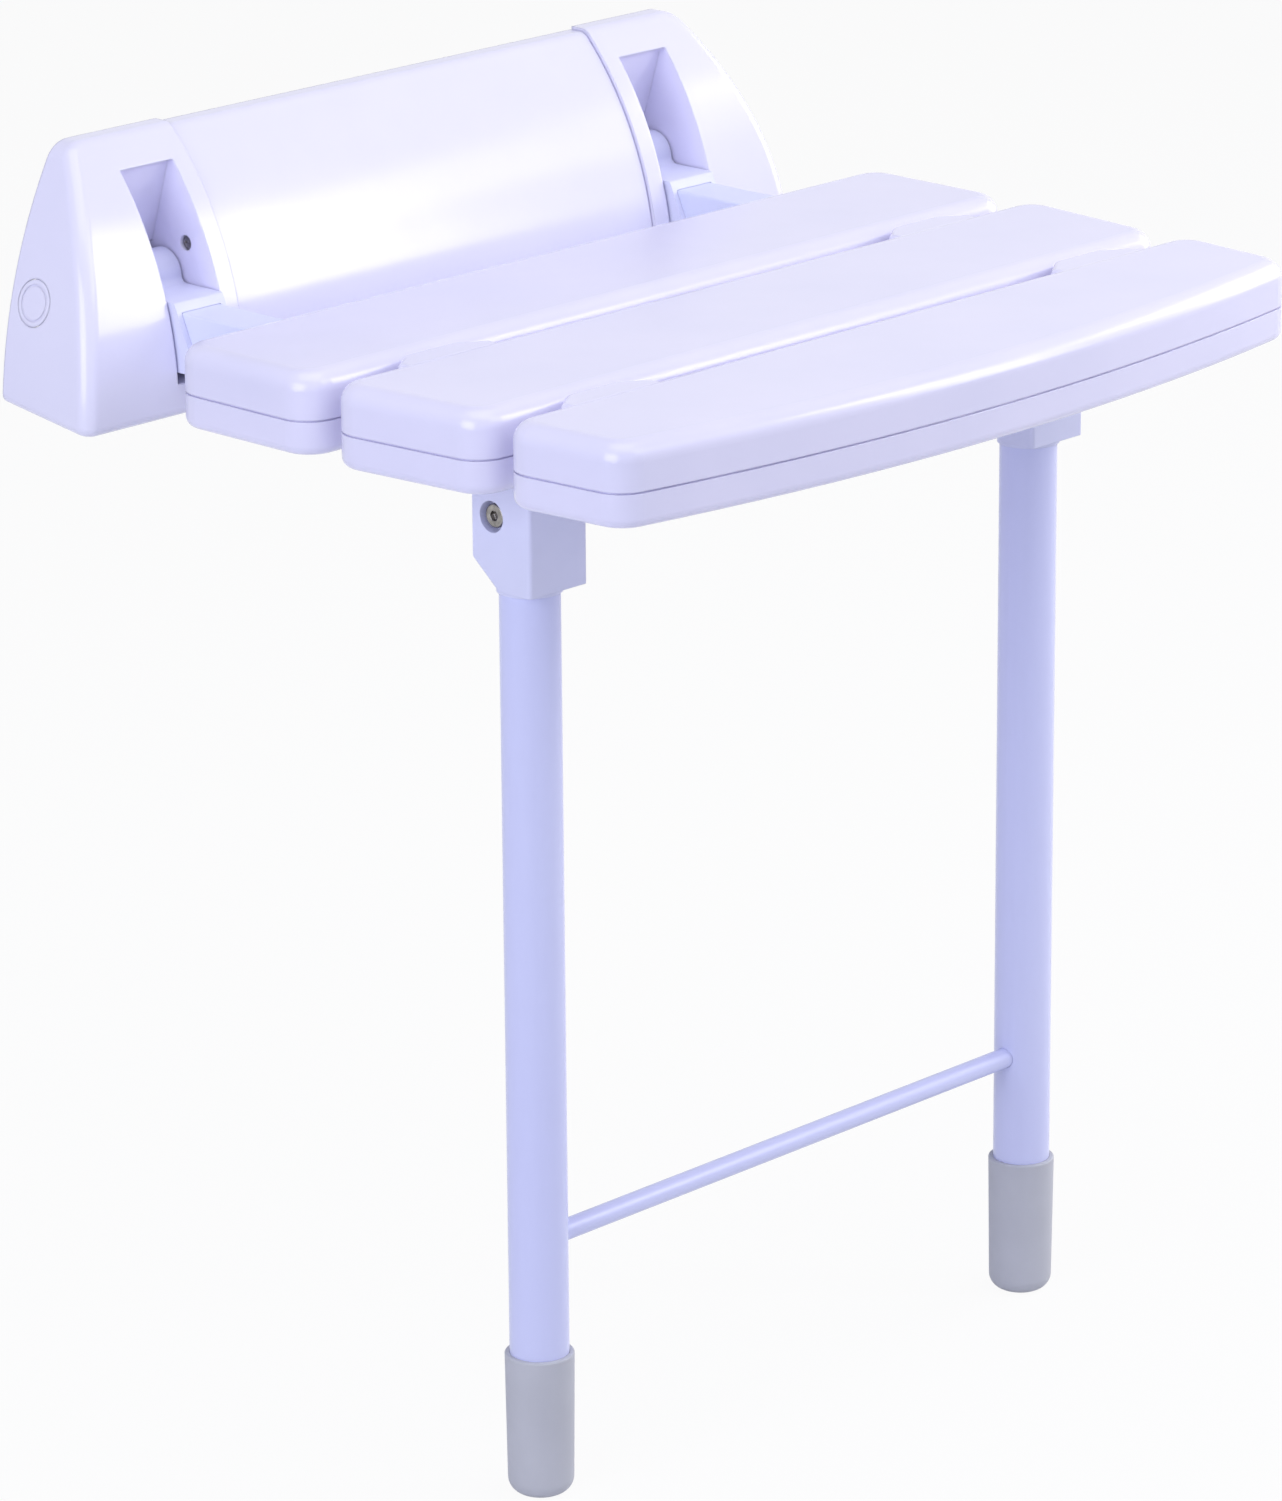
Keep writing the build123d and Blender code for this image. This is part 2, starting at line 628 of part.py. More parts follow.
def knuckle():
    """Left hinge knuckle: a barrel on the pin, a flat deck and a sleeve for the arm."""
    heel = PLATE_T + HEEL_GAP
    deck_front = spot(DECK_FRONT, DECK_Z)
    deck = make_face(
        Polyline(
            spot(heel, SLEEVE_LOW),
            spot(heel, AXIS_Z - HEEL_DROP),
            spot(AXIS_WALL - KNUCKLE_R / 2, AXIS_Z),
            spot(AXIS_WALL, DECK_Z),
            deck_front,
            spot(SLEEVE_FRONT, SLEEVE_LOW),
            close=True,
        )
    )
    profile = deck + Pos(*spot(AXIS_WALL, AXIS_Z)) * Circle(KNUCKLE_R)
    barrel_front = (KNUCKLE_R**2 - DECK_DROP**2) ** 0.5
    profile = round_corner(profile, spot(AXIS_WALL + barrel_front, DECK_Z), KNUCKLE_BLEND_R)
    profile = round_corner(profile, deck_front, SLEEVE_EDGE_R)
    body = side_slab(profile, arm_span(KNUCKLE_HALF))
    body -= rod_x(AXIS_WALL, AXIS_Z, arm_span(KNUCKLE_HALF + OVERCUT), BUSH_OUTER_D)
    socket_wall = (ARM_REAR - SEAT_CLEARANCE, SLEEVE_FRONT + OVERCUT)
    socket_z = (ARM_LOW - SEAT_CLEARANCE, ARM_TOP + SEAT_CLEARANCE)
    body -= between(arm_span(ARM_WIDTH / 2 + SEAT_CLEARANCE), socket_wall, socket_z)
    below = SLEEVE_LOW - OVERCUT
    for wall in sleeve_bolt_walls():
        hole_z = (below, ARM_TOP + SLEEVE_BOLT_BITE + SEAT_CLEARANCE)
        body -= rod_z(-ARM_X, wall, hole_z, SLEEVE_BOLT_D + 2 * RUN_CLEARANCE)
        sink_z = (below, SLEEVE_LOW + SLEEVE_BOLT_HEAD_T)
        body -= rod_z(-ARM_X, wall, sink_z, SLEEVE_BOLT_HEAD_D + 2 * SEAT_CLEARANCE)
    return body


def hinge_bushes():
    """Two flanged bushes pressed into the left knuckle from its two sides."""
    bushes = []
    flange_d = BUSH_OUTER_D + 2 * BUSH_FLANGE_RIM
    bore = rod_x(AXIS_WALL, AXIS_Z, arm_span(KNUCKLE_WIDTH), PIN_D + 2 * RUN_CLEARANCE)
    for side in (-1, 1):
        face_x = -ARM_X + side * KNUCKLE_HALF
        flange_x = face_x + side * BUSH_FLANGE_T
        bush = rod_x(AXIS_WALL, AXIS_Z, (-ARM_X + side * SEAT_CLEARANCE, flange_x), BUSH_OUTER_D)
        bush += rod_x(AXIS_WALL, AXIS_Z, (face_x, flange_x), flange_d)
        bushes.append(bush - bore)
    return bushes


def sleeve_bolt_walls():
    """Wall distances of the two bolts that hold an arm in its sleeve."""
    first = ARM_REAR + SLEEVE_BOLT_FIRST
    return (first, first + SLEEVE_BOLT_SPACING)


def slat_rear(index):
    """Wall distance of a slat's back edge."""
    return AXIS_WALL + SLAT_SETBACK + index * (SLAT_DEPTH + SLAT_GAP)


def slat_middle(index):
    """Wall distance half-way across a slat."""
    return slat_rear(index) + SLAT_DEPTH / 2


def pivot_wall():
    """Wall distance of the leg pivots."""
    return slat_middle(MIDDLE) + PIVOT_AHEAD


def leg_wall():
    """Wall distance of the legs' axes."""
    return pivot_wall() + LEG_AHEAD


def lug_walls():
    """Span of a lug's base away from the wall."""
    return (pivot_wall() - LUG_BASE_LENGTH / 2, pivot_wall() + LUG_BASE_LENGTH / 2)


def slat_fix_walls(index):
    """Wall distances of the screws that join a slat to an arm."""
    if index == MIDDLE:
        return (pivot_wall() - LUG_SCREW_SPACING / 2, pivot_wall() + LUG_SCREW_SPACING / 2)
    return (slat_middle(index) - ARM_SCREW_BACK,)


def arm_front():
    """Wall distance of the arms' front ends, inside the front slat."""
    return slat_middle(FRONT) + ARM_FRONT_PAST


def arm():
    """Left arm: a rectangular tube from the knuckle to inside the front slat."""
    tube = between(arm_span(ARM_WIDTH / 2), (ARM_REAR, arm_front()), (ARM_LOW, ARM_TOP))
    tube = fillet(tube.edges().filter_by(Axis.Y), ARM_EDGE_R)
    bore_wall = (ARM_REAR - OVERCUT, arm_front() + OVERCUT)
    tube -= between(arm_span(ARM_WIDTH / 2 - ARM_WALL), bore_wall, (ARM_LOW + ARM_WALL, ARM_TOP - ARM_WALL))
    through = (ARM_LOW - OVERCUT, ARM_TOP + OVERCUT)
    for wall in sleeve_bolt_walls():
        tube -= rod_z(-ARM_X, wall, through, SLEEVE_BOLT_D + 2 * RUN_CLEARANCE)
    for index in (REAR, MIDDLE, FRONT):
        for wall in slat_fix_walls(index):
            tube -= rod_z(-ARM_X, wall, through, ARM_SCREW_D + 2 * RUN_CLEARANCE)
    return tube


def sleeve_bolts():
    """Bolts that hold both arms in their sleeves, put in from below."""
    bolts = []
    for wall in sleeve_bolt_walls():
        bolt = rod_z(-ARM_X, wall, (SLEEVE_LOW + MERGE, ARM_TOP + SLEEVE_BOLT_BITE), SLEEVE_BOLT_D)
        bolt += rod_z(-ARM_X, wall, (SLEEVE_LOW, SLEEVE_LOW + SLEEVE_BOLT_HEAD_T), SLEEVE_BOLT_HEAD_D)
        bolts += [bolt, mirrored(bolt)]
    return bolts


def slat_halves(index):
    """Half lengths of a slat along its back and front edges."""
    back = ARM_X + SLAT_OUTS[index]
    return back, back - SLAT_TAPERS[index]


def slat_plan(index):
    """Plan of a slat: straight back, tapered ends, rounded corners and, in front, a bowed edge."""
    back_half, front_half = slat_halves(index)
    back = -slat_rear(index)
    front = back - SLAT_DEPTH
    corner_y = front + FRONT_CROWN if index == FRONT else front
    corners = ((-back_half, back), (back_half, back), (front_half, corner_y), (-front_half, corner_y))
    edges = Line(corners[0], corners[1]) + Line(corners[1], corners[2]) + Line(corners[3], corners[0])
    if index == FRONT:
        edges += ThreePointArc(corners[2], (0, front), corners[3])
    else:
        edges += Line(corners[2], corners[3])
    face = make_face(edges)
    for place in corners:
        face = round_corner(face, place, SLAT_CORNER_R)
    return face


def plan_slab(face, low, high):
    """A plan made solid between two heights."""
    return Pos(0, 0, low) * extrude(face, high - low, dir=(0, 0, 1))


def arm_channel(index):
    """Passages of both arms through a slat's walls."""
    rear = slat_rear(index)
    front = arm_front() + SEAT_CLEARANCE if index == FRONT else rear + SLAT_DEPTH + OVERCUT
    heights = (ARM_LOW - SEAT_CLEARANCE, ARM_TOP + SEAT_CLEARANCE)
    left = between(arm_span(ARM_WIDTH / 2 + SEAT_CLEARANCE), (rear - SLAT_GAP, front), heights)
    return [left, mirrored(left)]


def bump(index):
    """Bridge over the left arm, from a slat's back edge towards the slat behind."""
    middle = -ARM_X + BUMP_IN
    back = -slat_rear(index)
    crest = back + SLAT_GAP - BUMP_NEAR
    root = back - BUMP_ROOT
    half_plan = ((BUMP_FOOT / 2, root), (BUMP_FOOT / 2, back), (BUMP_CREST / 2, crest))
    right = [(middle + x, y) for x, y in half_plan]
    left = [(middle - x, y) for x, y in reversed(half_plan)]
    face = make_face(Polyline(*right, *left, close=True))
    for x, y in (right[-1], left[0]):
        face = round_corner(face, (x, y), BUMP_CORNER_R)
    body = plan_slab(face, ARM_TOP + SLIDE_CLEARANCE, SEAT_Z - BUMP_STEP)
    top = body.faces().sort_by(Axis.Z)[-1]
    return fillet([e for e in top.edges() if e.center().Y > root + MERGE], BUMP_TOP_R)


def slat_screw_places(index):
    """X and wall distance of a slat's shell screws."""
    outer = slat_halves(index)[1] - SLAT_SCREW_INSET
    xs = (-outer, -SLAT_SCREW_INNER_X, SLAT_SCREW_INNER_X, outer)
    return [(x, slat_middle(index)) for x in xs]


def slat_top(index):
    """Top shell: crowned skin, ribs, screw bosses, pads on the arms and bridges over them."""
    plan = slat_plan(index)
    shell = plan_slab(plan, TOP_SHELL_LOW, SEAT_Z)
    shell = fillet(shell.faces().sort_by(Axis.Z)[-1].edges(), SLAT_TOP_R)
    hollow = offset(plan, -SLAT_WALL)
    shell -= plan_slab(hollow, TOP_SHELL_LOW - OVERCUT, CEILING)
    lap_high = TOP_SHELL_LOW + LAP_TALL + SEAT_CLEARANCE
    shell -= plan_slab(offset(plan, -LAP_DEEP), TOP_SHELL_LOW - OVERCUT, lap_high)
    into_ceiling = CEILING + MERGE
    fill = plan_slab(hollow, CEILING - RIB_TALL, into_ceiling)
    half = slat_halves(index)[0]
    for wall in (slat_middle(index) - RIB_OFFSET, slat_middle(index) + RIB_OFFSET):
        rib_wall = (wall - RIB_T / 2, wall + RIB_T / 2)
        shell += between((-half, half), rib_wall, (CEILING - RIB_TALL, into_ceiling)) & fill
    if index > REAR:
        shell += bump(index)
        shell += mirrored(bump(index))
    for x, wall in slat_screw_places(index):
        shell += rod_z(x, wall, (TOP_SHELL_LOW, into_ceiling), SLAT_BOSS_D)
        hole_z = (TOP_SHELL_LOW - OVERCUT, TOP_SHELL_LOW + SLAT_SCREW_REACH + MERGE)
        shell -= rod_z(x, wall, hole_z, SLAT_SCREW_D + 2 * RUN_CLEARANCE)
    for wall in slat_fix_walls(index):
        for x in (-ARM_X, ARM_X):
            shell += rod_z(x, wall, (ARM_TOP + SEAT_CLEARANCE, into_ceiling), ARM_PAD_D)
            hole_z = (ARM_TOP, ARM_TOP + ARM_SCREW_REACH + MERGE)
            shell -= rod_z(x, wall, hole_z, ARM_SCREW_D + 2 * RUN_CLEARANCE)
    for channel in arm_channel(index):
        shell -= channel
    return shell


def slat_bottom(index):
    """Bottom shell: a shallow tray with a lap inside the top shell and screw posts."""
    plan = slat_plan(index)
    below = SLAT_LOW - OVERCUT
    lap_high = TOP_SHELL_LOW + LAP_TALL
    shell = plan_slab(plan, SLAT_LOW, BOTTOM_SHELL_HIGH)
    shell = fillet(shell.faces().sort_by(Axis.Z)[0].edges(), SLAT_BOTTOM_R)
    shell += plan_slab(offset(plan, -LAP_DEEP - SEAT_CLEARANCE), BOTTOM_SHELL_HIGH - MERGE, lap_high)
    shell -= plan_slab(offset(plan, -SLAT_WALL), FLOOR_TOP, lap_high + OVERCUT)
    for x, wall in slat_screw_places(index):
        shell += rod_z(x, wall, (FLOOR_TOP - MERGE, TOP_SHELL_LOW - SEAT_CLEARANCE), SLAT_POST_D)
        shell -= rod_z(x, wall, (below, TOP_SHELL_LOW), SLAT_SCREW_D + 2 * SEAT_CLEARANCE)
        shell -= rod_z(x, wall, (below, SLAT_LOW + SLAT_SCREW_SINK), SLAT_SCREW_HEAD_D + 2 * SLIDE_CLEARANCE)
    for x in (-ARM_X, ARM_X):
        if index == MIDDLE:
            half = ARM_WIDTH / 2 + SLIDE_CLEARANCE
            opening = (lug_walls()[0] - SLIDE_CLEARANCE, lug_walls()[1] + SLIDE_CLEARANCE)
            shell -= between((x - half, x + half), opening, (below, ARM_TOP))
        else:
            for wall in slat_fix_walls(index):
                shell -= rod_z(x, wall, (below, ARM_LOW), ARM_SCREW_HEAD_D + 2 * SLIDE_CLEARANCE)
    for channel in arm_channel(index):
        shell -= channel
    return shell


def slat_screws():
    """Screws that close the three slats from below."""
    screws = []
    seat = SLAT_LOW + SLAT_SCREW_SINK
    for index in (REAR, MIDDLE, FRONT):
        for x, wall in slat_screw_places(index):
            screw = rod_z(x, wall, (seat - SLAT_SCREW_HEAD_T, seat), SLAT_SCREW_HEAD_D)
            screw += rod_z(x, wall, (seat - MERGE, TOP_SHELL_LOW + SLAT_SCREW_REACH), SLAT_SCREW_D)
            screws.append(screw)
    return screws


def upright_screws(index, under):
    """Screws from under both arms, up through them into a slat's pads."""
    screws = []
    for x in (-ARM_X, ARM_X):
        for wall in slat_fix_walls(index):
            screw = rod_z(x, wall, (under - ARM_SCREW_HEAD_T, under), ARM_SCREW_HEAD_D)
            screw += rod_z(x, wall, (under - MERGE, ARM_TOP + ARM_SCREW_REACH), ARM_SCREW_D)
            screws.append(screw)
    return screws


def leg_lug():
    """Left lug: a base under the arm and a tongue down to the leg's pivot."""
    pivot = pivot_wall()
    tongue_x = leg_span(LUG_T / 2)
    lug = between(arm_span(ARM_WIDTH / 2), lug_walls(), (LUG_LOW, ARM_LOW))
    lug += between(tongue_x, (pivot - LUG_R, pivot + LUG_R), (PIVOT_Z, LUG_LOW + MERGE))
    lug += rod_x(pivot, PIVOT_Z, tongue_x, 2 * LUG_R)
    lug -= rod_x(pivot, PIVOT_Z, leg_span(LUG_T), PIVOT_BUSH_D)
    below = LUG_LOW - OVERCUT
    for wall in slat_fix_walls(MIDDLE):
        lug -= rod_z(-ARM_X, wall, (below, ARM_LOW + OVERCUT), ARM_SCREW_D + 2 * RUN_CLEARANCE)
        sink_z = (below, LUG_LOW + ARM_SCREW_HEAD_T)
        lug -= rod_z(-ARM_X, wall, sink_z, ARM_SCREW_HEAD_D + 2 * SEAT_CLEARANCE)
    return lug


def pivot_bush():
    """Left nylon bush in the lug's tongue."""
    bush = rod_x(pivot_wall(), PIVOT_Z, leg_span(LUG_T / 2), PIVOT_BUSH_D)
    return bush - rod_x(pivot_wall(), PIVOT_Z, leg_span(LUG_T), PIVOT_D + 2 * RUN_CLEARANCE)


# Legs


def head_profile():
    """Side view of a leg head: a block with a chamfer behind and a top that clears the lug's base."""
    pivot_y = -pivot_wall()
    front = -leg_wall() - HEAD_HALF
    back = -leg_wall() + HEAD_HALF
    swing = LUG_LOW - HEAD_TOP_GAP - PIVOT_Z
    reach = back - pivot_y
    top = PIVOT_Z + swing
    shoulder = PIVOT_Z + (swing**2 - reach**2) ** 0.5
    half_way = (pivot_y + reach / 2, PIVOT_Z + (swing**2 - reach**2 / 4) ** 0.5)
    sides = Polyline(
        (back, shoulder),
        (back, HEAD_LOW + HEAD_CHAMFER_Z),
        (back - HEAD_CHAMFER_Y, HEAD_LOW),
        (front, HEAD_LOW),
        (front, top),
        (pivot_y, top),
    )
    return make_face(sides + ThreePointArc((pivot_y, top), half_way, (back, shoulder)))


def leg_head():
    """Left leg head: a moulded block on the tube, slotted for the lug's tongue."""
    pivot = pivot_wall()
    head = side_slab(head_profile(), leg_span(HEAD_HALF))
    head = fillet(head.edges().filter_by(Axis.Z), HEAD_EDGE_R)
    collar_low = HEAD_LOW - COLLAR_TALL
    head += rod_z(-LEG_X, leg_wall(), (collar_low, HEAD_LOW + MERGE), COLLAR_D)
    bore_z = (collar_low - OVERCUT, TUBE_TOP + SEAT_CLEARANCE)
    head -= rod_z(-LEG_X, leg_wall(), bore_z, TUBE_D + 2 * RUN_CLEARANCE)
    slot_x = leg_span(LUG_T / 2 + SLIDE_CLEARANCE)
    reach = LUG_R + SLIDE_CLEARANCE
    behind = leg_wall() - HEAD_SIDE
    head -= between(slot_x, (behind, pivot + reach), (PIVOT_Z, LUG_LOW))
    head -= between(slot_x, (behind, pivot), (PIVOT_Z - reach, LUG_LOW))
    head -= rod_x(pivot, PIVOT_Z, slot_x, 2 * reach)
    head -= rod_x(pivot, PIVOT_Z, leg_span(HEAD_SIDE), PIVOT_D + 2 * RUN_CLEARANCE)
    sink_x = (-LEG_X - HEAD_SIDE, -LEG_X - HEAD_HALF + PIVOT_SINK)
    head -= rod_x(pivot, PIVOT_Z, sink_x, PIVOT_SINK_D)
    return head - nut_body(PIVOT_NUT_AF + 2 * SEAT_CLEARANCE, PIVOT_NUT_T + OVERCUT)


def hexagon_bar(across, x_span):
    """Six-sided bar along X on the left leg's pivot."""
    six = extrude(Plane.YZ * RegularPolygon(across / 2, 6, major_radius=False), x_span[1] - x_span[0])
    return Pos(x_span[0], -pivot_wall(), PIVOT_Z) * six


def nut_body(across, length):
    """Six-sided body let into the inner side of the left leg head."""
    start = -LEG_X + HEAD_HALF - PIVOT_NUT_T
    return hexagon_bar(across, (start, start + length))


def pivot_nut():
    """Left pivot nut, just below the head's inner side."""
    body = nut_body(PIVOT_NUT_AF, PIVOT_NUT_T - PIVOT_NUT_SINK)
    return body - rod_x(pivot_wall(), PIVOT_Z, leg_span(HEAD_SIDE), PIVOT_D + 2 * RUN_CLEARANCE)


def pivot_screw():
    """Left pivot screw: a round head with a six-sided socket, outboard."""
    under_head = -LEG_X - HEAD_HALF + PIVOT_SINK
    face_x = under_head - PIVOT_HEAD_T
    screw = rod_x(pivot_wall(), PIVOT_Z, (face_x, under_head), PIVOT_HEAD_D)
    screw = fillet(screw.edges().filter_by(GeomType.CIRCLE).sort_by(Axis.X)[0], PIVOT_HEAD_R)
    tip = -LEG_X + HEAD_HALF - PIVOT_NUT_SINK
    screw += rod_x(pivot_wall(), PIVOT_Z, (under_head - MERGE, tip), PIVOT_D)
    return screw - hexagon_bar(PIVOT_SOCKET_AF, (face_x, face_x + PIVOT_SOCKET_DEEP))


def leg_tube():
    """Left leg tube, with a hole for the rod on its inner side."""
    tube = rod_z(-LEG_X, leg_wall(), (TUBE_LOW, TUBE_TOP), TUBE_D)
    tube -= rod_z(-LEG_X, leg_wall(), (TUBE_LOW - OVERCUT, TUBE_TOP + OVERCUT), TUBE_D - 2 * TUBE_WALL)
    return tube - rod_x(leg_wall(), ROD_Z, (-LEG_X, -LEG_X + TUBE_D), ROD_D + 2 * RUN_CLEARANCE)


def cross_rod():
    """Thin rod between the legs, let into both tubes."""
    end = LEG_X - TUBE_D / 2 + TUBE_WALL + ROD_STAND_IN
    return rod_x(leg_wall(), ROD_Z, (-end, end), ROD_D)


def foot():
    """Left rubber ferrule, slightly tapered, with a rounded sole."""
    high = FLOOR_Z + FOOT_TALL
    body = loft([Plane.XY * Circle(FOOT_BOTTOM_D / 2), Plane.XY.offset(FOOT_TALL) * Circle(FOOT_TOP_D / 2)])
    body = fillet(body.edges().filter_by(GeomType.CIRCLE).sort_by(Axis.Z)[0], FOOT_EDGE_R)
    body = Pos(-LEG_X, -leg_wall(), FLOOR_Z) * body
    body -= rod_z(-LEG_X, leg_wall(), (WASHER_LOW, high + OVERCUT), TUBE_D + 2 * RUN_CLEARANCE)
    lip = body.edges().filter_by(GeomType.CIRCLE).group_by(Axis.Z)[-1].sort_by(SortBy.RADIUS)[-1]
    return fillet(lip, FOOT_LIP_R)


def foot_washers():
    """Steel discs inside the ferrules, under the tubes' ends."""
    disc = rod_z(-LEG_X, leg_wall(), (WASHER_LOW, TUBE_LOW), TUBE_D)
    disc -= rod_z(-LEG_X, leg_wall(), (WASHER_LOW - OVERCUT, TUBE_LOW + OVERCUT), WASHER_HOLE_D)
    return [disc, mirrored(disc)]


# Nodes


def add_pair(nodes, name, shape):
    """Adds a piece and its mirror image as left and right nodes."""
    nodes["left_" + name] = shape
    solids = shape if isinstance(shape, list) else [shape]
    other = [mirrored(s) for s in solids]
    nodes["right_" + name] = other if isinstance(shape, list) else other[0]


def build_nodes():
    """Every named piece of the seat, one solid or a list of solids each."""
    outer = housing_body(0)
    nodes = {
        "wall_plate": wall_plate(),
        "bracket_rivets": bracket_rivets(),
        "centre_cover": centre_cover(),
        "cap_screws": cap_screws(),
        "cover_screws": cover_screws(),
        "sleeve_bolts": sleeve_bolts(),
        "slat_screws": slat_screws(),
        "arm_screws": upright_screws(REAR, ARM_LOW) + upright_screws(FRONT, ARM_LOW),
        "lug_screws": upright_screws(MIDDLE, LUG_LOW + ARM_SCREW_HEAD_T),
        "cross_rod": cross_rod(),
        "foot_washers": foot_washers(),
    }
    add_pair(nodes, "hinge_bracket", hinge_bracket())
    add_pair(nodes, "end_cap", end_cap(outer, housing_body(HOUSING_WALL)))
    add_pair(nodes, "pin_cover", pin_cover(outer))
    add_pair(nodes, "hinge_pin", hinge_pin())
    add_pair(nodes, "pin_clip", pin_clip())
    add_pair(nodes, "knuckle", knuckle())
    add_pair(nodes, "hinge_bushes", hinge_bushes())
    add_pair(nodes, "arm", arm())
    add_pair(nodes, "leg_lug", leg_lug())
    add_pair(nodes, "pivot_bush", pivot_bush())
    add_pair(nodes, "leg_head", leg_head())
    add_pair(nodes, "pivot_nut", pivot_nut())
    add_pair(nodes, "pivot_screw", pivot_screw())
    add_pair(nodes, "leg_tube", leg_tube())
    add_pair(nodes, "foot", foot())
    for index, name in enumerate(("rear", "middle", "front")):
        nodes[name + "_slat_top"] = slat_top(index)
        nodes[name + "_slat_bottom"] = slat_bottom(index)
    return nodes


def main():
    os.makedirs("parts", exist_ok=True)
    for name, shape in build_nodes().items():
        solids = shape if isinstance(shape, list) else [shape]
        whole = Compound(children=solids) if len(solids) > 1 else solids[0]
        export_step(whole, os.path.join("parts", name + ".step"))


main()
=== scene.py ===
import json
import math

import bpy
from mathutils import Matrix, Vector


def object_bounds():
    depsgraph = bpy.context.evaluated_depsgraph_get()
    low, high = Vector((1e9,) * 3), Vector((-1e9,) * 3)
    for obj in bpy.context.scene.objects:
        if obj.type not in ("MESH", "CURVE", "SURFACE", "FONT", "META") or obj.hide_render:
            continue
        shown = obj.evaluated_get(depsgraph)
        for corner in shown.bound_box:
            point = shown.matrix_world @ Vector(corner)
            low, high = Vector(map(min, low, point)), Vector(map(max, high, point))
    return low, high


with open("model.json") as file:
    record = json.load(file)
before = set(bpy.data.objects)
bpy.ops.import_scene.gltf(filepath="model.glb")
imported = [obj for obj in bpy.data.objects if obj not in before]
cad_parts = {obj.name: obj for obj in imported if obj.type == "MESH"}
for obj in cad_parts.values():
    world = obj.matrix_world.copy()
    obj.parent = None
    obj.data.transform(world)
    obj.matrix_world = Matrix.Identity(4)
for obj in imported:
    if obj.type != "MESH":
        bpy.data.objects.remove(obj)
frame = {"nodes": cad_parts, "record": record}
cad_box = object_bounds()

MM = 0.001

# The camera that the photograph was taken with
PHOTO_WIDTH = 1282
PHOTO_FOCAL_PX = 6894
SENSOR_MM = 36.0
VIEW_AZIMUTH = -45.986
VIEW_ELEVATION = 17.898
VIEW_ROLL = -0.4425
VIEW_DISTANCE = 3.1214
VIEW_TARGET = Vector((0.1091, -0.0549, -0.2693))

# Studio
ROOM_LIGHT = 0.26
ROOM_TINT = "#E6EAFF"
COOL_TINT = "#EEF1FF"
SEAT_MIDDLE = Vector((0.0, -0.2, -0.05))
LEFT_CAP = Vector((-0.18, -0.045, 0.0))
COVER_MIDDLE = Vector((0.0, -0.04, 0.01))
FLOOR_HALF = 6.0
FLOOR_GLOW = 0.94
FLOOR_COLOUR = "#D9DADF"
FLOOR_ROUGHNESS = 0.9

# Skins
PATCH_DETAIL = 3.0
PATCH_FROM = 0.3
PATCH_TO = 0.7
RELIEF_DETAIL = 2.0
EDGE_SAMPLES = 6


def linear(hex_colour):
    """An sRGB hex colour as linear red, green, blue and full alpha."""
    parts = [int(hex_colour[i:i + 2], 16) / 255 for i in (1, 3, 5)]
    lin = [c / 12.92 if c <= 0.04045 else ((c + 0.055) / 1.055) ** 2.4 for c in parts]
    return (*lin, 1.0)


def per_metre(millimetres):
    """Pattern scale for features of a real size."""
    return 1.0 / (millimetres * MM)


def node(tree, kind, inputs=None, **settings):
    """Adds one shader node; inputs gives each socket a value or another node's output."""
    made = tree.nodes.new(kind)
    for name, value in settings.items():
        setattr(made, name, value)
    for name, value in (inputs or {}).items():
        if isinstance(value, bpy.types.NodeSocket):
            tree.links.new(value, made.inputs[name])
        else:
            made.inputs[name].default_value = value
    return made


def surface(name, colours, patch_mm, roughness, bumps, stretch=(1, 1, 1), edge_mm=0.5, **sockets):
    """A mottled, bumpy skin: two near colours, a range of roughness and layers of relief.

    Each bump is a pattern size and a height in millimetres. Sharp edges are eased over edge_mm.
    """
    material = bpy.data.materials.new(name)
    material.use_nodes = True
    tree = material.node_tree
    shader = tree.nodes["Principled BSDF"]
    place = node(tree, "ShaderNodeTexCoord").outputs["Object"]
    if stretch != (1, 1, 1):
        place = node(tree, "ShaderNodeMapping", {"Vector": place, "Scale": stretch}).outputs["Vector"]
    spread = {"Vector": place, "Scale": per_metre(patch_mm), "Detail": PATCH_DETAIL}
    amount = node(tree, "ShaderNodeTexNoise", spread).outputs["Fac"]
    ramp = node(tree, "ShaderNodeValToRGB", {"Fac": amount})
    for stop, colour in zip(ramp.color_ramp.elements, colours):
        stop.color = linear(colour)
    ramp.color_ramp.elements[0].position = PATCH_FROM
    ramp.color_ramp.elements[1].position = PATCH_TO
    tree.links.new(ramp.outputs["Color"], shader.inputs["Base Color"])
    limits = {"Value": amount, "To Min": roughness[0], "To Max": roughness[1]}
    rough = node(tree, "ShaderNodeMapRange", limits)
    tree.links.new(rough.outputs["Result"], shader.inputs["Roughness"])
    normal = node(tree, "ShaderNodeBevel", {"Radius": edge_mm * MM}, samples=EDGE_SAMPLES).outputs["Normal"]
    for size_mm, height_mm in bumps:
        spread = {"Vector": place, "Scale": per_metre(size_mm), "Detail": RELIEF_DETAIL}
        relief = node(tree, "ShaderNodeTexNoise", spread)
        height = {"Height": relief.outputs["Fac"], "Distance": height_mm * MM, "Normal": normal}
        normal = node(tree, "ShaderNodeBump", height).outputs["Normal"]
    tree.links.new(normal, shader.inputs["Normal"])
    for socket, value in sockets.items():
        shader.inputs[socket].default_value = value
    return material


# Mould grain, brush lines and tool marks are finer on the real seat. They are drawn coarser to show.


def seat_abs():
    """Glossy moulded ABS: a fine mould grain softens the highlights a little, slow sink waves bend them."""
    return surface(
        "seat_ABS",
        colours=("#EAE7FF", "#E5E3FC"),
        patch_mm=60.0,
        roughness=(0.18, 0.25),
        bumps=[(55.0, 0.2), (1.5, 0.006)],
        IOR=1.54,
    )


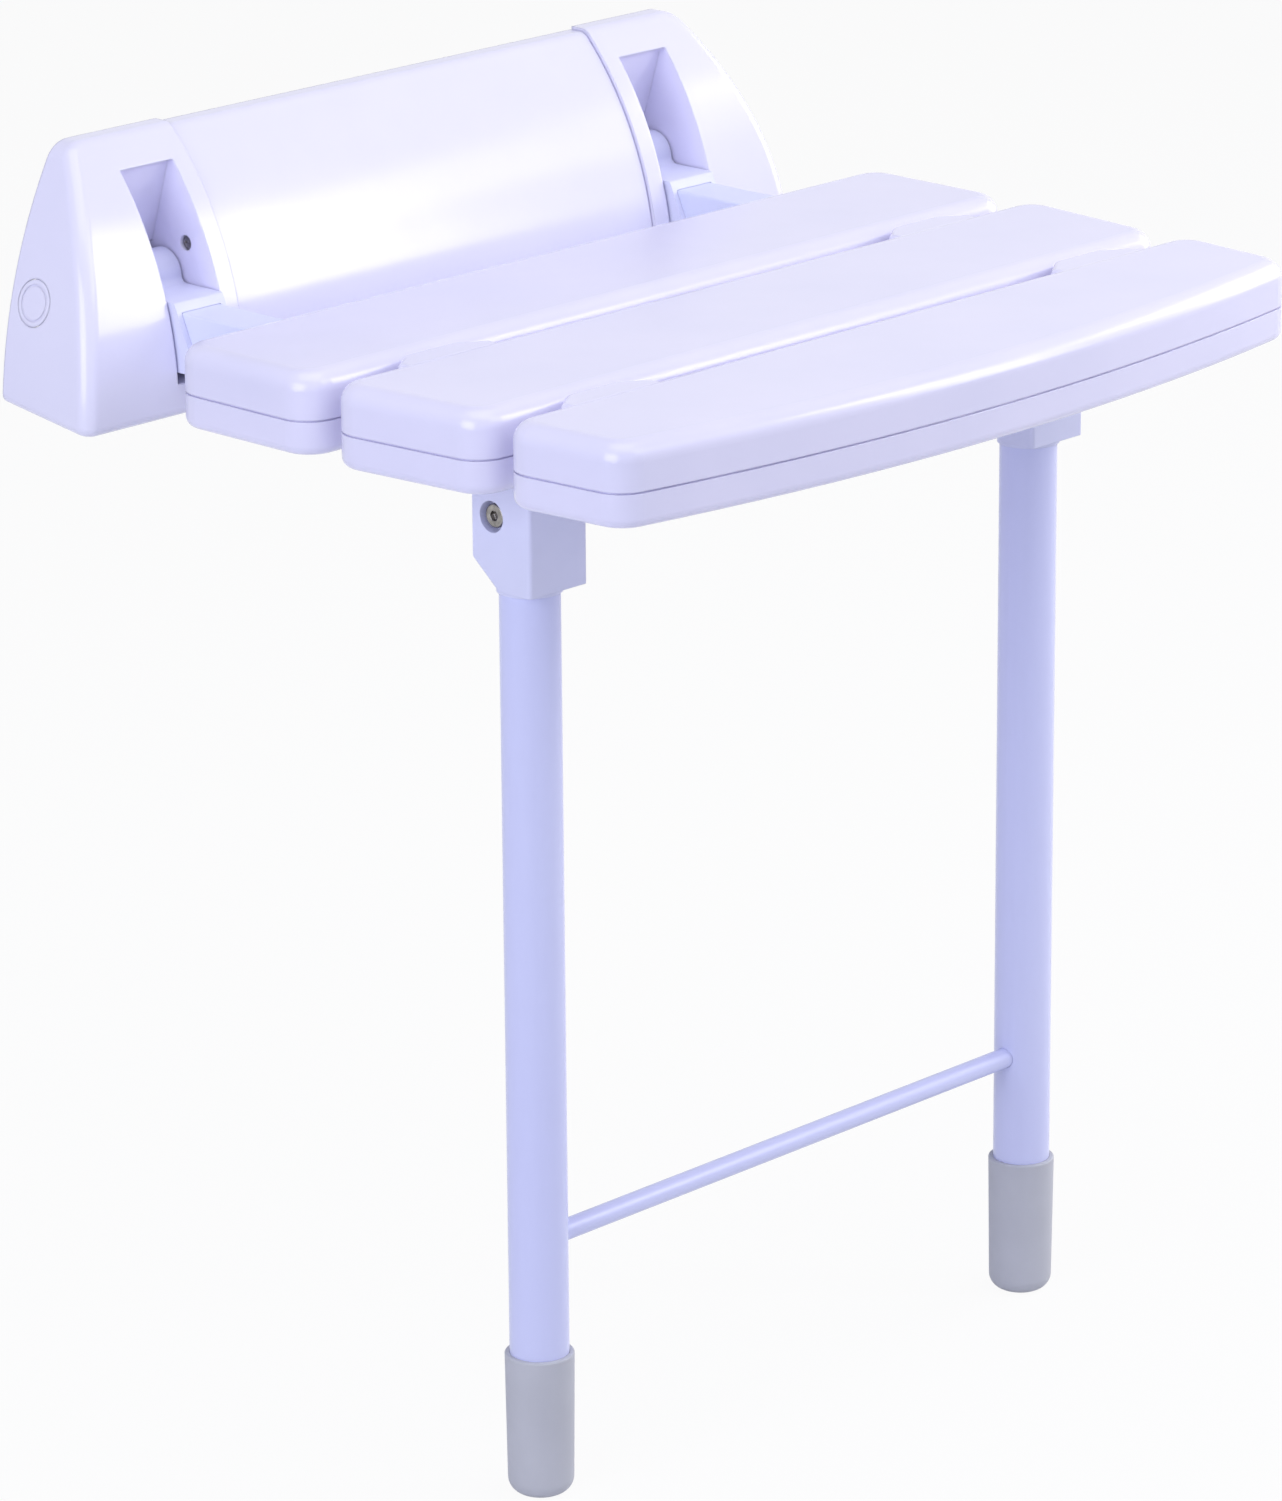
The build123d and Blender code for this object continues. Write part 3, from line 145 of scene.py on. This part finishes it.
def housing_abs():
    """Polished moulded ABS: a clear window of light across the front, hardly broken."""
    return surface(
        "housing_ABS",
        colours=("#ECEAFF", "#E8E6FD"),
        patch_mm=70.0,
        roughness=(0.14, 0.2),
        bumps=[(80.0, 0.2), (1.5, 0.004)],
        edge_mm=1.3,
        IOR=1.54,
    )


def hinge_nylon():
    """Moulded glass-filled nylon: a shade greyer and duller than the ABS beside it."""
    return surface(
        "hinge_nylon",
        colours=("#E2E3FC", "#DCDEF8"),
        patch_mm=40.0,
        roughness=(0.38, 0.46),
        bumps=[(30.0, 0.12), (1.2, 0.012)],
        IOR=1.53,
    )


def leg_powder_coat():
    """Glossy powder coat on steel tube: faint orange peel ripples the highlights."""
    return surface(
        "leg_powder_coat",
        colours=("#D8DBFE", "#D5D8FD"),
        patch_mm=160.0,
        roughness=(0.25, 0.28),
        bumps=[(4.0, 0.02)],
        IOR=1.5,
    )


def arm_powder_coat():
    """Satin powder coat on the aluminium arms: the same ripple, a duller sheen."""
    return surface(
        "arm_powder_coat",
        colours=("#E2E5FE", "#DEE2FC"),
        patch_mm=120.0,
        roughness=(0.35, 0.39),
        bumps=[(4.0, 0.02)],
        IOR=1.5,
    )


def brushed_steel():
    """Brushed stainless plate: grain drawn along X stretches the reflections."""
    return surface(
        "brushed_steel",
        colours=("#C9CACD", "#B9BABD"),
        patch_mm=2.0,
        roughness=(0.28, 0.4),
        bumps=[(1.0, 0.01)],
        stretch=(0.04, 1, 1),
        Metallic=1.0,
    )


def turned_steel():
    """Turned stainless screws and pins: close tool marks; lighter and darker patches in the colour are
    painted glints.
    """
    return surface(
        "turned_steel",
        # The light and dark patches of these two colours are painted glints (painted highlights and dark
        # reflections).
        colours=("#A9A6A4", "#7C7978"),
        patch_mm=3.0,
        roughness=(0.2, 0.32),
        bumps=[(0.8, 0.01)],
        edge_mm=0.4,
        Metallic=1.0,
    )


def natural_nylon():
    """Unpigmented nylon bushes: warm, waxy and slightly cloudy."""
    return surface(
        "natural_nylon",
        colours=("#D9D6C8", "#CFCBBB"),
        patch_mm=8.0,
        roughness=(0.42, 0.52),
        bumps=[(1.0, 0.01)],
        edge_mm=0.2,
        IOR=1.53,
    )


def foot_rubber():
    """Grey moulded rubber: matt, with a fine dusty bloom."""
    return surface(
        "foot_rubber",
        colours=("#C6C7CF", "#C0C1C9"),
        patch_mm=25.0,
        roughness=(0.55, 0.68),
        bumps=[(20.0, 0.1), (1.0, 0.03)],
        IOR=1.52,
    )


FINISHES = {
    "seat_plastic": seat_abs,
    "housing_plastic": housing_abs,
    "hinge_plastic": hinge_nylon,
    "leg_paint": leg_powder_coat,
    "arm_paint": arm_powder_coat,
    "plate_steel": brushed_steel,
    "screw_steel": turned_steel,
    "bush_plastic": natural_nylon,
    "foot_rubber": foot_rubber,
}


def dress_nodes():
    """Gives every CAD node the finish of its record slot."""
    made = {slot: finish() for slot, finish in FINISHES.items()}
    for subpart in frame["record"]["subparts"]:
        slots = frame["nodes"][subpart["node"]].data.materials
        slots.clear()
        slots.append(made[subpart["material_slot"]])


def aim_camera():
    """Sets the camera where the photograph was taken from."""
    azimuth = math.radians(VIEW_AZIMUTH)
    elevation = math.radians(VIEW_ELEVATION)
    back = Vector((
        math.sin(azimuth) * math.cos(elevation),
        -math.cos(azimuth) * math.cos(elevation),
        math.sin(elevation),
    ))
    lens = bpy.data.cameras.new("camera")
    lens.sensor_fit = "HORIZONTAL"
    lens.sensor_width = SENSOR_MM
    lens.lens = PHOTO_FOCAL_PX * SENSOR_MM / PHOTO_WIDTH
    camera = bpy.data.objects.new("camera", lens)
    turn = back.to_track_quat("Z", "Y").to_matrix().to_4x4()
    roll = Matrix.Rotation(math.radians(VIEW_ROLL), 4, "Z")
    camera.matrix_world = Matrix.Translation(VIEW_TARGET + back * VIEW_DISTANCE) @ turn @ roll
    bpy.context.scene.collection.objects.link(camera)
    bpy.context.scene.camera = camera


def soft_box(name, place, target, width, tall, power, tint="#FFFFFF"):
    """A rectangular studio lamp aimed at a point."""
    lamp = bpy.data.lights.new(name, "AREA")
    lamp.shape = "RECTANGLE"
    lamp.size = width
    lamp.size_y = tall
    lamp.energy = power
    lamp.color = linear(tint)[:3]
    box = bpy.data.objects.new(name, lamp)
    box.location = place
    box.rotation_euler = (Vector(place) - target).to_track_quat("Z", "Y").to_euler()
    bpy.context.scene.collection.objects.link(box)


def shown_rays(tree):
    """One for rays that show a surface: from the camera, off a gloss or through glass."""
    rays = node(tree, "ShaderNodeLightPath").outputs
    ends = {0: rays["Is Camera Ray"], 1: rays["Is Glossy Ray"]}
    seen = node(tree, "ShaderNodeMath", ends, operation="ADD")
    ends = {0: seen.outputs["Value"], 1: rays["Is Transmission Ray"]}
    return node(tree, "ShaderNodeMath", ends, operation="ADD", use_clamp=True).outputs["Value"]


def light_room():
    """A white room that lights the seat with a cooler, dimmer level than it shows."""
    world = bpy.data.worlds.new("studio")
    bpy.context.scene.world = world
    world.use_nodes = True
    tree = world.node_tree
    light = node(tree, "ShaderNodeBackground", {"Color": linear(ROOM_TINT), "Strength": ROOM_LIGHT})
    shown = node(tree, "ShaderNodeBackground", {"Color": (1, 1, 1, 1), "Strength": 1.0})
    ends = {"Fac": shown_rays(tree), 1: light.outputs["Background"], 2: shown.outputs["Background"]}
    mix = node(tree, "ShaderNodeMixShader", ends)
    tree.links.new(mix.outputs["Shader"], tree.nodes["World Output"].inputs["Surface"])


def light_studio():
    """Room light, large lamps above, beside and in front, and two strips that the housing mirrors."""
    light_room()
    soft_box("overhead", (-0.3, -0.5, 1.9), SEAT_MIDDLE, width=1.8, tall=1.8, power=16.6)
    soft_box("left", (-2.1, -0.55, 0.5), SEAT_MIDDLE, width=1.4, tall=1.4, power=23, tint=COOL_TINT)
    soft_box("right", (2.0, -0.7, 0.5), SEAT_MIDDLE, width=1.2, tall=1.2, power=18.5)
    soft_box("front", (0.4, -1.9, 1.4), SEAT_MIDDLE, width=1.0, tall=1.0, power=7.6, tint=COOL_TINT)
    soft_box("cap_strip", (1.0, -1.29, 0.52), LEFT_CAP, width=0.28, tall=1.0, power=5.5)
    soft_box("cover_strip", (1.22, -1.19, 0.7), COVER_MIDDLE, width=0.3, tall=0.34, power=0.7)


def lay_floor():
    """Plain pale floor under the feet; it glows enough to meet the white room and keeps the shadow."""
    low = cad_box[0][2]
    rim = FLOOR_HALF
    corners = [(-rim, -rim, low), (rim, -rim, low), (rim, rim, low), (-rim, rim, low)]
    mesh = bpy.data.meshes.new("floor")
    mesh.from_pydata(corners, [], [(0, 1, 2, 3)])
    floor = bpy.data.objects.new("floor", mesh)
    bpy.context.scene.collection.objects.link(floor)
    paint = bpy.data.materials.new("floor_paint")
    paint.use_nodes = True
    tree = paint.node_tree
    shader = tree.nodes["Principled BSDF"]
    shader.inputs["Base Color"].default_value = linear(FLOOR_COLOUR)
    shader.inputs["Roughness"].default_value = FLOOR_ROUGHNESS
    glow = node(tree, "ShaderNodeEmission", {"Strength": 1.0})
    share = node(tree, "ShaderNodeMath", {0: shown_rays(tree), 1: FLOOR_GLOW}, operation="MULTIPLY")
    ends = {"Fac": share.outputs["Value"], 1: shader.outputs["BSDF"], 2: glow.outputs["Emission"]}
    mix = node(tree, "ShaderNodeMixShader", ends)
    tree.links.new(mix.outputs["Shader"], tree.nodes["Material Output"].inputs["Surface"])
    mesh.materials.append(paint)


dress_nodes()
aim_camera()
light_studio()
lay_floor()
bpy.context.scene.view_settings.view_transform = "Standard"
